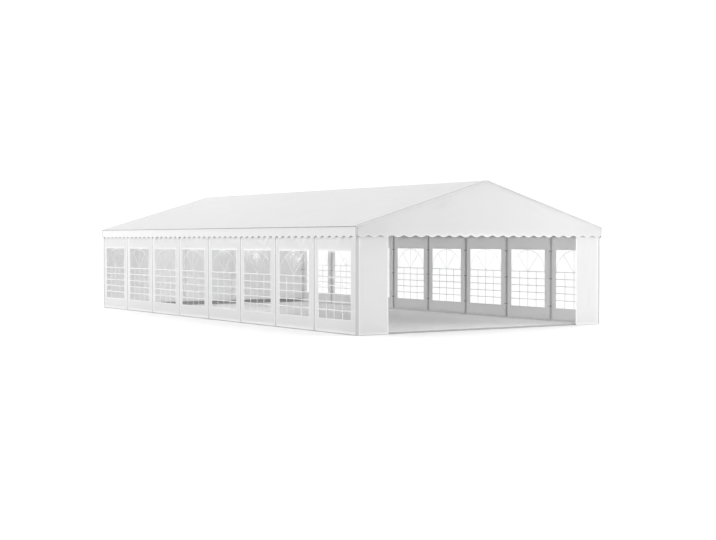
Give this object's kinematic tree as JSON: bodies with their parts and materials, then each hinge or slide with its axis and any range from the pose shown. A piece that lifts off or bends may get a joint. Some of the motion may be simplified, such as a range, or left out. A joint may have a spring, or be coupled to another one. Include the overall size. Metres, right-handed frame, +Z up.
{
  "type": "marquee tent",
  "caption": "Long rectangular party marquee with a gabled PVC roof, scalloped valances, windowed side walls and one open gable, on a steel tube frame.",
  "frame": {"origin": "on the ground at the middle of the floor area", "axes": "+Z up, +Y along the ridge away from the open gable, +X across the tent"},
  "size_m": [8.18, 16.18, 3.9],
  "materials": {
    "galvanised_steel": "dull galvanised",
    "white_pvc": "coated satin",
    "clear_film": "clear flexible"
  },
  "bodies": {
    "root": {"frame_1_left": "galvanised_steel", "frame_1_right": "galvanised_steel", "frame_2_left": "galvanised_steel", "frame_2_right": "galvanised_steel", "frame_3_left": "galvanised_steel", "frame_3_right": "galvanised_steel", "frame_4_left": "galvanised_steel", "frame_4_right": "galvanised_steel", "frame_5_left": "galvanised_steel", "frame_5_right": "galvanised_steel", "frame_6_left": "galvanised_steel", "frame_6_right": "galvanised_steel", "frame_7_left": "galvanised_steel", "frame_7_right": "galvanised_steel", "frame_8_left": "galvanised_steel", "frame_8_right": "galvanised_steel", "frame_9_left": "galvanised_steel", "frame_9_right": "galvanised_steel", "gable_beam_front": "galvanised_steel", "gable_beam_back": "galvanised_steel", "gable_post_left": "galvanised_steel", "gable_post_right": "galvanised_steel", "eave_rail_left": "galvanised_steel", "eave_rail_right": "galvanised_steel", "purlin_left": "galvanised_steel", "purlin_right": "galvanised_steel", "ridge_rail": "galvanised_steel", "ground_bar_left": "galvanised_steel", "ground_bar_right": "galvanised_steel", "ground_bar_front": "galvanised_steel", "ground_bar_back": "galvanised_steel", "roof_cover": "white_pvc", "gable_front": "white_pvc", "gable_back": "white_pvc", "valance_left": "white_pvc", "valance_right": "white_pvc", "wall_left_1": "white_pvc", "wall_left_2": "white_pvc", "wall_left_3": "white_pvc", "wall_left_4": "white_pvc", "wall_left_5": "white_pvc", "wall_left_6": "white_pvc", "wall_left_7": "white_pvc", "wall_left_8": "white_pvc", "wall_right_1": "white_pvc", "wall_right_2": "white_pvc", "wall_right_3": "white_pvc", "wall_right_4": "white_pvc", "wall_right_5": "white_pvc", "wall_right_6": "white_pvc", "wall_right_7": "white_pvc", "wall_right_8": "white_pvc", "front_corner_left": "white_pvc", "front_corner_right": "white_pvc", "back_wall_left": "white_pvc", "back_wall_right": "white_pvc", "back_door_curtain": "white_pvc", "window_film_left": "clear_film", "window_film_right": "clear_film"}
  },
  "joints": []
}
